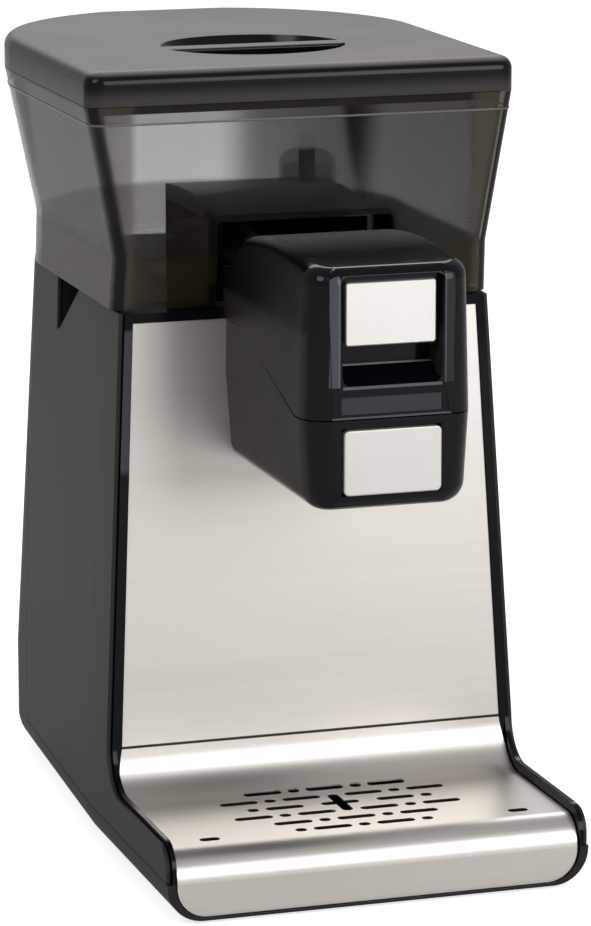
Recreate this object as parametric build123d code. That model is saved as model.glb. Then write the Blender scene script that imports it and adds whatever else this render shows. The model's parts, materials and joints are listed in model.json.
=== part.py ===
from build123d import *
import math
import os

os.makedirs("parts", exist_ok=True)

# A countertop pour-over coffee brewer with a hinged tank lid and a hinged brew head.
# Millimetres, X to the right, Y to the back, Z up. The origin is on the counter, under the
# middle of the brewer. A size that stands alone can be changed by itself, and what has to fit
# to it is worked out from it.

# Overall plan and heights
lid_half = 101.5            # half width of the lid and of the tank's rim
lid_front = -58.5
lid_centre = 80.0           # where the straight sides end and the round back begins
lid_corner = 8.0
top_height = 362.0
lid_thick = 15.7
lid_gap = 0.3               # between the lid and the tank's rim
lid_edge = 6.0
lid_wall = 3.0
lid_lip = 4.5
lip_wall = 2.0

# Grip in the lid
dish_y = 21.0
dish_half_x = 43.5
dish_half_y = 38.5
dish_depth = 17.0
dish_wall = 2.2
dish_draft = 8.0            # how far the dish draws in to its floor
bar_wide = 12.0
bar_thick = 7.0

# Lid hinge
hinge_y = lid_centre + lid_half - 4.5
hinge_z = top_height - 12.0
hinge_barrel = 4.5
hinge_pin = 1.6
hinge_half = 29.0
knuckle_half = 11.0
side_gap = 0.4
pin_clear = 0.06

# Water tank
crease_half = 89.0
crease_front = -59.4
crease_centre = 73.0
foot_half = 89.8
foot_front = -56.0
foot_height = 253.6
crease_height = foot_height + 23.9
tank_wall = 2.6
tank_floor = 3.0
rim_wall = 4.2
rim_band = 8.0
mouth_half = 42.0           # the wide mouth that the brew head's jaw turns in
mouth_top = foot_height + 38.9
mouth_back = -44.0
mouth_round = 3.0
hood_half = 34.5            # the narrower arched hood behind it
hood_front_top = foot_height + 35.2
hood_crown_y = 4.0
hood_crown = foot_height + 41.1
hood_back_top = foot_height + 38.9
hood_back = 46.5
hood_round = 6.0
tunnel_wall = 2.5

# Level float and its domed cap in the tank
dome_x = 41.0
dome_y = 66.0
dome_radius = 14.0
dome_wall = 2.0
dome_crown = 8.0
dome_share = 0.54           # how much of the tank's depth the dome takes up
knob_radius = 4.0
knob_high = 6.5             # how far the float's knob stands out of the dome
float_radius = 10.0
float_low = 4.0             # from the tank's floor up to the float
float_long = 10.0
float_lift = 0.3

# Body shell
feet_height = 1.5
base_half = 98.5
base_top = 19.0
base_round = 16.5
base_wall = 3.0
kink_y = -35.0              # behind this the sides draw in
back_half = 87.0
back_y = 172.0
back_round = 48.0
shoulder_z = 54.0           # below this the sides are upright
body_top = foot_height - 0.6
body_top_half = 88.0
body_top_back_half = 86.0
body_top_back = 150.0
body_top_round = 60.0
shell_wall = 2.2
tray_front = -168.3
panel_setback = 1.8
cheek_top = 36.5
cheek_hollow = 20.0
cheek_nose = 13.0
rear_split = 110.0
deck_thick = 2.6
fit_gap = 0.3

# Stainless front panel and the frame round it
panel_bottom_z = shoulder_z + 0.3
panel_top_z = body_top - 4.6
panel_bottom_y = -70.1
panel_top_y = -60.1
panel_bottom_half = base_half - 7.1
panel_top_half = body_top_half - 6.2
panel_thick = 1.2
frame_proud = 0.8
frame_deep = 14.0
flange_wide = 8.0
cheek_inner = base_half - 4.3

# Carrying notches under the tank
notch_front = 7.0
notch_back = 52.0
notch_low = body_top - 26.0
liner_wall = 2.0

# Drip tray
tray_half = cheek_inner - 0.6
tray_widen = 41.0
tray_face = tray_front + 1.3
tray_top = 31.5
sheet = 1.0
hollow_bend = 20.5
nose_bend = 13.0
tray_foot = 3.0
tray_corner = 14.0
drain_centre_y = -110.4
drain_row = 11.6
drain_step = 14.9
slot_long = 18.0
slot_short = 5.4
slot_wide = 4.6
slot_bridge = 8.5           # steel between the slots of the middle row
cross_long = 26.0
cross_wide = 5.2
vent_x = tray_half - 20.9
vent_y = -146.3
vent_long = 9.4
pan_half = tray_half - 10.6
pan_front = tray_face + 13.5
pan_back = -84.0
pan_wall = 2.0
pan_corner = 8.0
pan_flange = tray_half - 1.6

# Brew head
head_front = -180.0
head_bottom = body_top - 70.0
head_half_low = 36.3
head_half_mid = 38.8
head_half_top = 36.8
seam_front_z = head_bottom + 41.3
seam_back_z = head_bottom + 65.5
seam_gap = 0.6
head_wall = 2.5
head_corner = 13.0
head_round = 10.0           # along the head's lower edge
crown_round = 7.5          # along the edge of its crown
head_top = head_bottom + 110.2
crown_y = -128.0
crown_back_y = -85.0
crown_back_z = head_bottom + 106.8
crown_front_z = head_bottom + 104.0
jaw_back = -55.7
jaw_shoulder_z = head_bottom + 89.0
jaw_split = -160.0
jaw_pin_y = -52.0
jaw_pin_z = head_bottom + 79.0
jaw_pin = 2.4
jaw_barrel = 6.0
jaw_knuckle_in = 21.0
jaw_knuckle_out = 34.0
window_half = 23.5
window_half_low = 22.6      # the recess draws in towards its lower end
ledge_y = -166.0
window_low = head_bottom + 55.8
window_high = head_bottom + 103.0
window_round = 4.0
rim_half = 29.0
rim_half_low = 27.0
rim_raise = 0.8             # how far the bezel's rim stands out of the head
rim_top = head_bottom + 106.5
rim_round = 5.0
plate_half = 20.6
plate_low = head_bottom + 72.8
plate_high = head_bottom + 100.6
plate_front = -178.2
plate_thick = 3.0
ledge_z = head_bottom + 62.4
lip_low = head_bottom + 43.1
lip_high = head_bottom + 51.0
lip_half = 23.0
lip_shoulder = 24.5         # half width of the lip's upper edge between the rim's bars
lip_top = head_bottom + 54.3
lip_deep = 0.6

# Brew button
button_half = 22.2
button_low = head_bottom + 7.9
button_high = head_bottom + 36.7
button_front = -182.0
button_thick = 4.2
button_gap = 0.5
button_travel = 2.0
stem_radius = 4.0
flange_extra = 0.9            # how far the button's flange reaches behind its opening

# Pod holder and shower
pod_y = -122.0
pod_radius = 29.0
pod_wall = 2.0
pod_floor_z = head_bottom + 13.0
pod_rim_z = head_bottom + 41.0
pod_rim = 33.5
nozzle_radius = 5.0
nozzle_tip = head_bottom - 2.5
shower_z = head_bottom + 44.0

# Works inside the body
chassis_y = -46.0
chassis_thick = 2.0
chassis_half = base_half - 28.5
neck_half = 28.0
neck_low = head_bottom + 9.0
neck_high = head_bottom + 55.0
boiler_y = 75.0
boiler_radius = 44.0
boiler_wall = 1.5
boiler_low = 30.0
boiler_high = head_bottom + 4.0
boiler_lid_thick = 3.0
spout_radius = 3.4
spout_bore = 1.8
rod_half = 14.0             # the heating element's legs stand this far from the middle
rod_radius = 3.0
probe_x = 28.0
probe_radius = 2.5
hose_radius = 4.0
hose_bore = 2.5
hose_z = head_bottom + 31.0
valve_x = -boiler_radius - 18.0
pump_x = -46.0
pump_y = -14.0

reach = lid_half + base_half     # cuts that run past both sides of the brewer
above_all = top_height + 20.0
head_reach = head_half_mid + 20.0
NODES = {}


def keep(name, shape):
    """File a finished piece under its name."""
    NODES[name] = shape
    return shape


def block(x0, x1, y0, y1, z0, z1):
    """A box between two corners."""
    return Pos((x0 + x1) / 2, (y0 + y1) / 2, (z0 + z1) / 2) * Box(x1 - x0, y1 - y0, z1 - z0)


def rod_z(x, y, z0, z1, radius):
    return Pos(x, y, (z0 + z1) / 2) * Cylinder(radius, z1 - z0)


def rod_x(x0, x1, y, z, radius):
    return Pos((x0 + x1) / 2, y, z) * Rot(0, 90, 0) * Cylinder(radius, x1 - x0)


def rod_y(x, y0, y1, z, radius):
    return Pos(x, (y0 + y1) / 2, z) * Rot(90, 0, 0) * Cylinder(radius, y1 - y0)


def polygon(points, rounds=None):
    """A flat face through the points, with some of its corners rounded: {index: radius}."""
    face = make_face(Polyline(*[(*p, 0) for p in points], close=True))
    for index, radius in (rounds or {}).items():
        x, y = points[index]
        corner = face.vertices().sort_by_distance((x, y, 0))[0]
        face = fillet(corner, radius)
    return face


def side_prism(points, half, rounds=None):
    """A side view, drawn in Y and Z, run across the brewer to both sides."""
    face = polygon(points, rounds)
    return extrude(Plane.YZ * face, amount=half, both=True)


def front_prism(points, y0, y1, rounds=None):
    """A front view, drawn in X and Z, run from y0 back to y1."""
    face = polygon([(x, z) for x, z in points], rounds)
    plane = Plane((0, y0, 0), x_dir=(1, 0, 0), z_dir=(0, -1, 0))
    return extrude(plane * face, amount=-(y1 - y0))


def d_face(half, front, centre, corner, z):
    """The D plan of the lid and tank: straight front and sides, round back."""
    rim = [
        Line((corner - half, front), (half - corner, front)),
        RadiusArc((half - corner, front), (half, front + corner), -corner),
        Line((half, front + corner), (half, centre)),
        ThreePointArc((half, centre), (0, centre + half), (-half, centre)),
        Line((-half, centre), (-half, front + corner)),
        RadiusArc((-half, front + corner), (corner - half, front), -corner),
    ]
    return Pos(0, 0, z) * make_face(rim)


def body_face(half, back_width, back, corner, z, inset, front):
    """The plan of the body: straight to the kink, then drawn in to a rounded back."""
    a, b, y = half - inset, back_width - inset, back - inset
    points = [(-a, front), (a, front), (a, kink_y), (b, y), (-b, y), (-a, kink_y)]
    return Pos(0, 0, z) * polygon(points, {3: corner - inset, 4: corner - inset})


def body_block(inset, front, low, high):
    """The solid body form, drawn in all round by inset, between two heights."""
    def at(z):
        t = (z - shoulder_z) / (body_top - shoulder_z)
        return body_face(
            base_half + (body_top_half - base_half) * t,
            back_half + (body_top_back_half - back_half) * t,
            back_y + (body_top_back - back_y) * t,
            back_round + (body_top_round - back_round) * t, z, inset, front)
    upper = loft([at(shoulder_z), at(high)], ruled=True)
    if low >= shoulder_z:
        return upper
    return extrude(at(shoulder_z), amount=low - shoulder_z) + upper


def panel_y(z):
    """Where the front of the leaning panel stands at a height."""
    t = (z - panel_bottom_z) / (panel_top_z - panel_bottom_z)
    return panel_bottom_y + (panel_top_y - panel_bottom_y) * t


def panel_half(z):
    t = (z - panel_bottom_z) / (panel_top_z - panel_bottom_z)
    return panel_bottom_half + (panel_top_half - panel_bottom_half) * t


def body_half(z):
    t = max(0.0, (z - shoulder_z) / (body_top - shoulder_z))
    return base_half + (body_top_half - base_half) * t


def body_side(setback, low, high):
    """Side view of body and tray together, its front edges moved back by setback."""
    nose = tray_front + setback
    top = cheek_top - setback
    points = [(panel_y(high) - frame_proud + setback, high), (panel_y(top) - frame_proud + setback, top),
              (nose, top), (nose, low), (back_y + 5, low), (back_y + 5, high)]
    return side_prism(points, reach, {1: cheek_hollow, 2: cheek_nose - setback})


def slot_face(x, y, length, width, turned=False):
    return Pos(x, y) * Rot(0, 0, 90 if turned else 0) * SlotOverall(length, width)


def hose(points, radii, outer, bore):
    """A hose along straight runs joined by arcs."""
    path = FilletPolyline(*points, radius=radii)
    start = Plane(origin=path @ 0, z_dir=path % 0)
    ring = Circle(outer) - Circle(bore)
    return sweep(start * ring, path=path)


# Water tank with its tunnel for the brew head
rim_height = top_height - lid_thick - lid_gap


def tank_form(inset, low, rim):
    foot = d_face(foot_half - inset, foot_front + inset, crease_centre, lid_corner - inset, low)
    crease = d_face(crease_half - inset, crease_front + inset, crease_centre, lid_corner - inset, crease_height)
    top = d_face(lid_half - inset, lid_front + inset, lid_centre, lid_corner - inset, rim)
    return loft([foot, crease], ruled=True) + loft([crease, top], ruled=True)


def rim_section(inset, z):
    """The flared wall's plan at a height above the crease."""
    t = (z - crease_height) / (rim_height - crease_height)
    return d_face(
        crease_half + (lid_half - crease_half) * t - inset,
        crease_front + (lid_front - crease_front) * t + inset,
        crease_centre + (lid_centre - crease_centre) * t, lid_corner - inset / 2, z)


def head_mouth(grow):
    """The wide, shallow mouth in the tank's front."""
    box = block(-mouth_half - grow, mouth_half + grow, lid_front - 20, mouth_back + grow,
                foot_height - 10, mouth_top + grow)
    return fillet(box.edges().filter_by(Axis.Y).group_by(Axis.Z)[-1], mouth_round + grow)


def hood(grow):
    """The arched hood that runs back from the mouth."""
    low, back = foot_height - 10, hood_back + grow
    crown_end = hood_back - hood_round / 2
    side = make_face([
        Line((mouth_back - 3, low), (mouth_back - 3, hood_front_top + grow)),
        ThreePointArc((mouth_back - 3, hood_front_top + grow), (hood_crown_y, hood_crown + grow),
                      (crown_end, hood_back_top + grow)),
        Line((crown_end, hood_back_top + grow), (back, hood_back_top + grow - hood_round / 2)),
        Line((back, hood_back_top + grow - hood_round / 2), (back, low)),
        Line((back, low), (mouth_back - 3, low))])
    form = extrude(Plane.YZ * side, amount=hood_half + grow, both=True)
    upright = form.edges().filter_by(Axis.Z).group_by(Axis.Y)[-1]
    return fillet(upright, hood_round + grow)


def tunnel(grow):
    return head_mouth(grow) + hood(grow)


valve_y = boiler_y
port_drop, port_outer, port_bore = 9.0, 7.0, 5.0
tank_port = rod_z(valve_x, valve_y, foot_height - port_drop, foot_height + 1, port_outer)
tank_port -= rod_z(valve_x, valve_y, foot_height - port_drop - 1, foot_height + 5, port_bore)
lug_low = rim_height - 14
lug_spans = [sorted((s * (knuckle_half + side_gap), s * hinge_half)) for s in (-1, 1)]
outer = tank_form(0, foot_height, rim_height)
cavity_corner = lid_corner - tank_wall
lower_cavity = loft([
    d_face(foot_half - tank_wall, foot_front + tank_wall, crease_centre, cavity_corner, foot_height + tank_floor),
    d_face(crease_half - tank_wall, crease_front + tank_wall, crease_centre, cavity_corner, crease_height)],
    ruled=True)
band_low = rim_height - rim_band
upper_cavity = loft([rim_section(tank_wall, crease_height), rim_section(tank_wall, band_low)], ruled=True)
mouth = loft([rim_section(rim_wall, band_low - 0.01), rim_section(rim_wall, rim_height + 3)], ruled=True)
tank = outer - lower_cavity - upper_cavity - mouth
tank += tunnel(tunnel_wall) & outer
for x0, x1 in lug_spans:
    lug = block(x0, x1, hinge_y - hinge_barrel, hinge_y + hinge_barrel, lug_low, hinge_z)
    tank += (lug - upper_cavity - mouth) + rod_x(x0, x1, hinge_y, hinge_z, hinge_barrel)
tank -= tunnel(0)
tank -= rod_x(-hinge_half - 1, hinge_half + 1, hinge_y, hinge_z, hinge_pin)
tank = tank - rod_z(valve_x, valve_y, foot_height - 1, foot_height + 10, port_bore) + tank_port
tank -= rod_x(-knuckle_half - side_gap, knuckle_half + side_gap, hinge_y, hinge_z, hinge_barrel + side_gap)
keep("water_tank", tank)

# A strainer over the outlet, and the level float in its domed cap
tank_ground = foot_height + tank_floor
strainer_radius, strainer_wall, strainer_slits = 11.0, 1.2, 8
mesh_top = tank_ground + 14
strainer = rod_z(valve_x, valve_y, tank_ground, mesh_top, strainer_radius)
strainer -= rod_z(valve_x, valve_y, foot_height, mesh_top - strainer_wall, strainer_radius - strainer_wall)
for turn in range(strainer_slits):
    slit = block(strainer_radius - 3, strainer_radius + 2, -1.2, 1.2, tank_ground + 3, mesh_top - 3)
    strainer -= Pos(valve_x, valve_y, 0) * Rot(0, 0, turn * 360 / strainer_slits) * slit
keep("outlet_strainer", strainer)

lid_low = top_height - lid_thick
dome_low = tank_ground
dome_top = dome_low + dome_share * (lid_low - dome_low)
dome = rod_z(dome_x, dome_y, dome_low, dome_top, dome_radius)
dome = fillet(dome.edges().filter_by(GeomType.CIRCLE).group_by(Axis.Z)[-1], dome_radius * 0.6)
dome -= rod_z(dome_x, dome_y, dome_low - 1, dome_top - dome_crown, dome_radius - dome_wall)
dome -= rod_z(dome_x, dome_y, dome_top - dome_crown - 1, dome_top + 1, knob_radius + pin_clear)
keep("level_float_cap", dome)
stem = rod_z(dome_x, dome_y, dome_low + float_lift, dome_top + knob_high, knob_radius)
stem += rod_z(dome_x, dome_y, dome_low + float_low, dome_low + float_low + float_long, float_radius)
keep("level_float", stem)

# Lid
lid = extrude(d_face(lid_half, lid_front, lid_centre, lid_corner, lid_low), amount=lid_thick)
lid = fillet(lid.edges().group_by(Axis.Z)[-1], lid_edge)
lid -= extrude(d_face(lid_half - lid_wall, lid_front + lid_wall, lid_centre, lid_corner - lid_wall / 2, lid_low - 1),
               amount=lid_thick - lid_wall)


def lip_plan(inset):
    return d_face(lid_half - inset, lid_front + inset, lid_centre, lid_corner - lid_wall, lid_low - lid_lip)


def dish(grow, top, low):
    """The oval dish of the grip, or the wall round it."""
    rim = Pos(0, dish_y, top) * Ellipse(dish_half_x + grow, dish_half_y + grow)
    ground = Pos(0, dish_y, low) * Ellipse(dish_half_x - dish_draft + grow, dish_half_y - dish_draft + grow)
    return loft([rim, ground], ruled=True)


lip_inset = rim_wall + 1.9
lid += extrude(lip_plan(lip_inset) - lip_plan(lip_inset + lip_wall), amount=lid_lip + lid_thick - 2)
lid += dish(dish_wall, top_height - 1, top_height - dish_depth - dish_wall)
lid -= dish(0, top_height, top_height - dish_depth)
bar_low = top_height - bar_thick
bar = block(-dish_half_x, dish_half_x, dish_y - bar_wide / 2, dish_y + bar_wide / 2, bar_low, top_height)
bar = fillet(bar.edges().filter_by(Axis.X), 1.5)
lid += bar & extrude(Pos(0, dish_y, bar_low) * Ellipse(dish_half_x + 0.5, dish_half_y), amount=bar_thick)
notch_y = hinge_y - hinge_barrel - 1.5
lid -= block(-hinge_half - 1, hinge_half + 1, notch_y, hinge_y + 20, lid_low - 10, top_height + 5)
lid -= block(-hinge_half - 3, hinge_half + 3, notch_y - 8, hinge_y + 20, lid_low - 10, lid_low)
knuckle = rod_x(-knuckle_half, knuckle_half, hinge_y, hinge_z, hinge_barrel)
knuckle += block(-knuckle_half, knuckle_half, notch_y - 4, hinge_y, hinge_z - 2.5, hinge_z + hinge_barrel)
notch_wall = block(-hinge_half - 3, hinge_half + 3, notch_y - lid_wall, notch_y, lid_low, top_height - 1)
lid += notch_wall + knuckle
lid -= rod_x(-knuckle_half - 1, knuckle_half + 1, hinge_y, hinge_z, hinge_pin + pin_clear)
keep("tank_lid", lid)
keep("lid_hinge_pin", rod_x(-hinge_half, hinge_half, hinge_y, hinge_z, hinge_pin))

# Base pan and feet
def rounded_pan(inset, low, high):
    plan = body_face(base_half, back_half, back_y, back_round, low, inset, tray_front + inset)
    solid = extrude(plan, amount=high - low)
    under = [e for e in solid.edges().group_by(Axis.Z)[0] if e.center().Y > tray_front + inset + 1]
    return fillet(under, base_round - inset)


pan_recess = front_prism([(-tray_half - 1, tray_foot - 0.4), (tray_half + 1, tray_foot - 0.4),
                          (tray_half + 1, base_top + 2), (-tray_half - 1, base_top + 2)],
                         tray_front - 1, tray_face + sheet + 0.6, {0: tray_corner + 1, 1: tray_corner + 1})
base = rounded_pan(0, feet_height, base_top)
base -= rounded_pan(base_wall, feet_height + base_wall, base_top + 5)
base -= pan_recess
recess_back = tray_face + sheet + 0.6
base += block(tray_corner - tray_half, tray_half - tray_corner, recess_back, recess_back + base_wall,
              feet_height, base_top)
front_foot_x, back_foot_x = base_half - 28.5, back_half - 27.0
front_boss_x, back_boss_x = base_half - 36.5, back_half - 31.0
foot_spots = [(s * x, y) for x, y in ((front_foot_x, -138), (back_foot_x, back_y - 40)) for s in (-1, 1)]
boss_spots = [(s * x, y) for x, y in ((front_boss_x, -52), (back_boss_x, back_y - 34)) for s in (-1, 1)]
foot_radius, boss_radius = 9.0, 5.0
floor_z = feet_height + base_wall
for x, y in boss_spots:
    base += rod_z(x, y, floor_z - 1, base_top - 4, boss_radius)
screw_head, screw_shank, screw_long = 3.4, 1.6, 12.0


def screw(spot_x, spot_y, z, up=True):
    """A pan head screw that points up or down from z."""
    s = 1 if up else -1
    head = rod_z(spot_x, spot_y, *sorted((z, z + s * 2)), screw_head)
    return head + rod_z(spot_x, spot_y, *sorted((z + s * 1.9, z + s * (2 + screw_long))), screw_shank)


def screw_space(spot_x, spot_y, z, up=True):
    s = 1 if up else -1
    head = rod_z(spot_x, spot_y, *sorted((z - s, z + s * 2)), screw_head + 0.3)
    return head + rod_z(spot_x, spot_y, *sorted((z + s * 1.9, z + s * (2 + screw_long + 0.3))), screw_shank + 0.05)


for x, y in boss_spots:
    base -= screw_space(x, y, feet_height + 0.4)
keep("base_pan", base)
keep("base_screws", Compound([screw(x, y, feet_height + 0.4) for x, y in boss_spots]))
keep("rubber_feet", Compound([rod_z(x, y, 0, feet_height, foot_radius) for x, y in foot_spots]))

# Side panels and rear cover
shell = body_block(0, tray_front - 4, base_top, body_top)
shell -= body_block(shell_wall, tray_front - 10, base_top - 1, body_top)
shell = shell & body_side(panel_setback, base_top, body_top)
notch = side_prism([(notch_front, body_top + 3), (notch_back, body_top + 3), (notch_back, notch_low),
                    (notch_back - 3, notch_low)], reach)
shell -= notch
left = shell & block(-reach, 0, tray_front - 9, rear_split, 0, body_top)
right = shell & block(0, reach, tray_front - 9, rear_split, 0, body_top)
rear = shell & block(-reach, reach, rear_split, back_y + 9, 0, body_top)
gland_x, gland_z, gland_hole = 24.0, 34.0, 8.0
switch_x, switch_z, socket_half_x, socket_half_z = -16.0, 36.0, 11.0, 7.0
rear -= rod_y(gland_x, back_y - 9, back_y + 9, gland_z, gland_hole)
rear -= block(switch_x - socket_half_x, switch_x + socket_half_x, back_y - 9, back_y + 9,
              switch_z - socket_half_z, switch_z + socket_half_z)
vent_rows, vent_low, vent_pitch, vent_gap, vent_half = 6, 90.0, 9.0, 3.0, 26.0
for row in range(vent_rows):
    slit_z = vent_low + row * vent_pitch
    rear -= block(-vent_half, vent_half, back_y - 40, back_y + 9, slit_z, slit_z + vent_gap)
keep("left_side_panel", left)
keep("right_side_panel", right)
keep("rear_cover", rear)

# Liner of the carrying notches, right across the body
liner_top, liner_low = body_top - deck_thick - fit_gap, notch_low - liner_wall
liner = side_prism([(notch_front - 1, liner_top), (notch_back + liner_wall, liner_top),
                    (notch_back + liner_wall, liner_low), (notch_back - 4, liner_low)], reach)
liner -= notch
liner &= body_block(shell_wall + fit_gap, -100, shoulder_z, body_top)
keep("notch_liner", liner)

# Deck that carries the tank
deck = body_block(shell_wall + fit_gap, foot_front + 10, shoulder_z, body_top) & block(
    -reach, reach, foot_front + 10, back_y, body_top - deck_thick, body_top)
deck -= block(-mouth_half, mouth_half, foot_front, hood_back, body_top - 9, body_top + 5)
seal_radius = port_outer + 1.8
deck -= rod_z(valve_x, valve_y, body_top - 9, body_top + 5, seal_radius + 0.2)
keep("tank_deck", deck)
seal = rod_z(valve_x, valve_y, body_top - deck_thick, body_top + fit_gap, seal_radius)
seal -= rod_z(valve_x, valve_y, body_top - 9, body_top + 5, port_outer + 0.1)
keep("tank_seal", seal)

# Front frame: uprights, top strip and the cheeks beside the tray
shell_gap = 0.1              # between the frame and the side panels
band_front, band_back = -120, 0    # front views are cut well before and behind the panel
upright_outer = [(body_half(z) - shell_wall - shell_gap, z) for z in (base_top, shoulder_z, body_top)]
upright_inner = [(panel_half(body_top) + fit_gap, body_top), (panel_bottom_half + fit_gap, shoulder_z),
                 (cheek_inner, tray_widen)]


def both_sides(points, y0, y1):
    right_half = front_prism(points, y0, y1)
    return right_half + front_prism([(-x, z) for x, z in points], y0, y1)


def lean_band(front_offset, depth, low, high):
    """A slice parallel to the leaning panel."""
    near_low, near_high = panel_y(low) + front_offset, panel_y(high) + front_offset
    return side_prism([(near_low, low), (near_low + depth, low), (near_high + depth, high), (near_high, high)], reach)


uprights = both_sides([(upright_outer[0][0], cheek_top - 6), upright_outer[1], upright_outer[2],
                       *upright_inner, (cheek_inner, cheek_top - 6)], band_front, band_back)
frame = uprights & lean_band(-frame_proud, frame_deep, cheek_top - 20, body_top)
flange = both_sides([(upright_outer[1][0], panel_bottom_z), upright_outer[2],
                     (panel_half(body_top) - flange_wide, body_top),
                     (panel_half(panel_bottom_z) - flange_wide, panel_bottom_z)], band_front, band_back)
sill_half, sill_top = panel_bottom_half - 1, panel_bottom_z + flange_wide
flange += front_prism([(-panel_bottom_half, panel_bottom_z), (panel_bottom_half, panel_bottom_z),
                       (sill_half, sill_top), (-sill_half, sill_top)], band_front, band_back)
frame += flange & lean_band(panel_thick, frame_deep - frame_proud - panel_thick, panel_bottom_z, body_top)
strip = front_prism([(-panel_top_half - 2, panel_top_z + fit_gap), (panel_top_half + 2, panel_top_z + fit_gap),
                     (panel_top_half, body_top), (-panel_top_half, body_top)], band_front, band_back)
frame += strip & lean_band(-frame_proud, frame_deep, panel_top_z - 5, body_top)
frame -= block(-mouth_half, mouth_half, band_front, band_back, panel_top_z - 9, body_top + 5)
cheek_outer = base_half - shell_wall - shell_gap
for x0, x1 in ((cheek_inner, cheek_outer), (-cheek_outer, -cheek_inner)):
    cheek = block(x0, x1, tray_front - 5, kink_y - 15, base_top, shoulder_z)
    frame += cheek & body_side(0, base_top, body_top)
keep("front_frame", frame)

# Stainless panel
panel = front_prism([(-panel_bottom_half, panel_bottom_z), (panel_bottom_half, panel_bottom_z),
                     (panel_top_half, panel_top_z), (-panel_top_half, panel_top_z)], band_front, band_back)
panel &= lean_band(0, panel_thick, panel_bottom_z - 5, panel_top_z + 5)
neck_gap = 0.5
panel -= block(-neck_half - neck_gap, neck_half + neck_gap, band_front, chassis_y,
               neck_low - neck_gap, neck_high + neck_gap)
keep("front_panel", panel)

# Drip tray: a bent stainless cover over a black pan
sheet_back = panel_y(shoulder_z)


def sheet_profile(grow):
    """Side view of the ground under the tray cover's skin, lowered by grow."""
    sheet_top, far = shoulder_z - fit_gap, sheet_back + 110
    points = [(sheet_back + grow, sheet_top), (panel_y(tray_top) + grow, tray_top - grow),
              (tray_face + grow, tray_top - grow), (tray_face + grow, tray_foot), (far, tray_foot), (far, sheet_top)]
    return side_prism(points, tray_half, {1: hollow_bend + grow, 2: nose_bend - grow})


cover = sheet_profile(0) - sheet_profile(sheet)
cover &= front_prism([(-tray_half, tray_foot), (tray_half, tray_foot), (tray_half, tray_widen),
                      (panel_bottom_half, shoulder_z), (-panel_bottom_half, shoulder_z), (-tray_half, tray_widen)],
                     tray_front - 5, 0, {0: tray_corner, 1: tray_corner})
cover -= block(-tray_half, tray_half, sheet_back + sheet + 2, sheet_back + 130, 0, shoulder_z + 8)
# Half rows from the middle outwards: what stands at each step of the pattern
rows = {3: "dld", 2: "ldl", 1: " ldl"}
slots = []
for sign in (-1, 1):
    for row, marks in rows.items():
        y = drain_centre_y + sign * row * drain_row
        for step, mark in enumerate(marks):
            length = {"l": slot_long, "d": slot_short}.get(mark)
            for side in ((-1, 1) if step else (1,)):
                if length:
                    slots.append(slot_face(side * step * drain_step, y, length, slot_wide))
middle_long = slot_long + slot_bridge
for side in (-1, 1):
    slots.append(slot_face(side * middle_long, drain_centre_y, slot_long, slot_wide))
    slots.append(slot_face(side * (middle_long + drain_step), drain_centre_y, slot_short, slot_wide))
    slots.append(slot_face(side * vent_x, vent_y, vent_long, slot_wide))
slots.append(slot_face(0, drain_centre_y, slot_long, slot_wide))
slots.append(slot_face(0, drain_centre_y, cross_long, cross_wide, turned=True))
for cut in slots:
    cover -= extrude(Pos(0, 0, tray_top - 3) * cut, amount=6)
keep("tray_cover", cover)

pan_top = tray_top - sheet - fit_gap
pan_low = floor_z + fit_gap
pan = block(-pan_half, pan_half, pan_front, pan_back, pan_low, pan_top)
pan = fillet(pan.edges().filter_by(Axis.Z), pan_corner)
hollow = block(pan_wall - pan_half, pan_half - pan_wall, pan_front + pan_wall, pan_back - pan_wall,
               pan_low + pan_wall, pan_top + 5)
hollow = fillet(hollow.edges().filter_by(Axis.Z), pan_corner - pan_wall)
pan = pan + block(-pan_flange, pan_flange, pan_front, pan_back, pan_top - pan_wall, pan_top) - hollow
keep("drip_pan", pan)

# Brew head: one form, parted at the seam into a lower housing and a lifting jaw
head_end = -30.0             # the head's form runs back to here before it is cut
under_head, over_head = head_bottom - 33.0, body_top + 7.0


def head_plan(inset, half, z):
    r = head_corner - inset
    a, f = half - inset, head_front + inset
    rim = [Line((r - a, f), (a - r, f)), RadiusArc((a - r, f), (a, f + r), -r),
           Line((a, f + r), (a, head_end)), Line((a, head_end), (-a, head_end)),
           Line((-a, head_end), (-a, f + r)), RadiusArc((-a, f + r), (r - a, f), -r)]
    return Pos(0, 0, z) * make_face(rim)


def head_half(z):
    """The head's half width at a height: widest at the seam."""
    if z < seam_front_z:
        return head_half_low + (head_half_mid - head_half_low) * (z - head_bottom) / (seam_front_z - head_bottom)
    return head_half_mid + (head_half_top - head_half_mid) * (z - seam_front_z) / (head_top - seam_front_z)


def head_lower(inset):
    """The lower head with its drafted sides and its rounded lower edge."""
    low, mid, high = (head_plan(inset, head_half(z), z) for z in (head_bottom + inset, seam_front_z, seam_back_z + 2))
    form = loft([low, mid], ruled=True) + loft([mid, high], ruled=True)
    under = [e for e in form.edges().group_by(Axis.Z)[0] if e.center().Y < head_end - 1]
    form = fillet(under, head_round - inset)
    return form & block(-head_reach, head_reach, head_front - 40, jaw_back, under_head, seam_back_z + 5)


def crown_side(inset):
    """Side view of the jaw's crown, from its upright back over to the front."""
    back, front = jaw_back - inset, head_front - 10
    crown = ThreePointArc((crown_back_y, crown_back_z - inset), (crown_y, head_top - inset),
                          (front, crown_front_z - inset))
    rear = TangentArc(crown @ 0, (back, jaw_shoulder_z), tangent=-(crown % 0))
    line = [rear, crown, Line(crown @ 1, (front, under_head)), Line((front, under_head), (back, under_head)),
            Line((back, under_head), rear @ 1)]
    return extrude(Plane.YZ * make_face(line), amount=head_reach, both=True)


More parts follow.
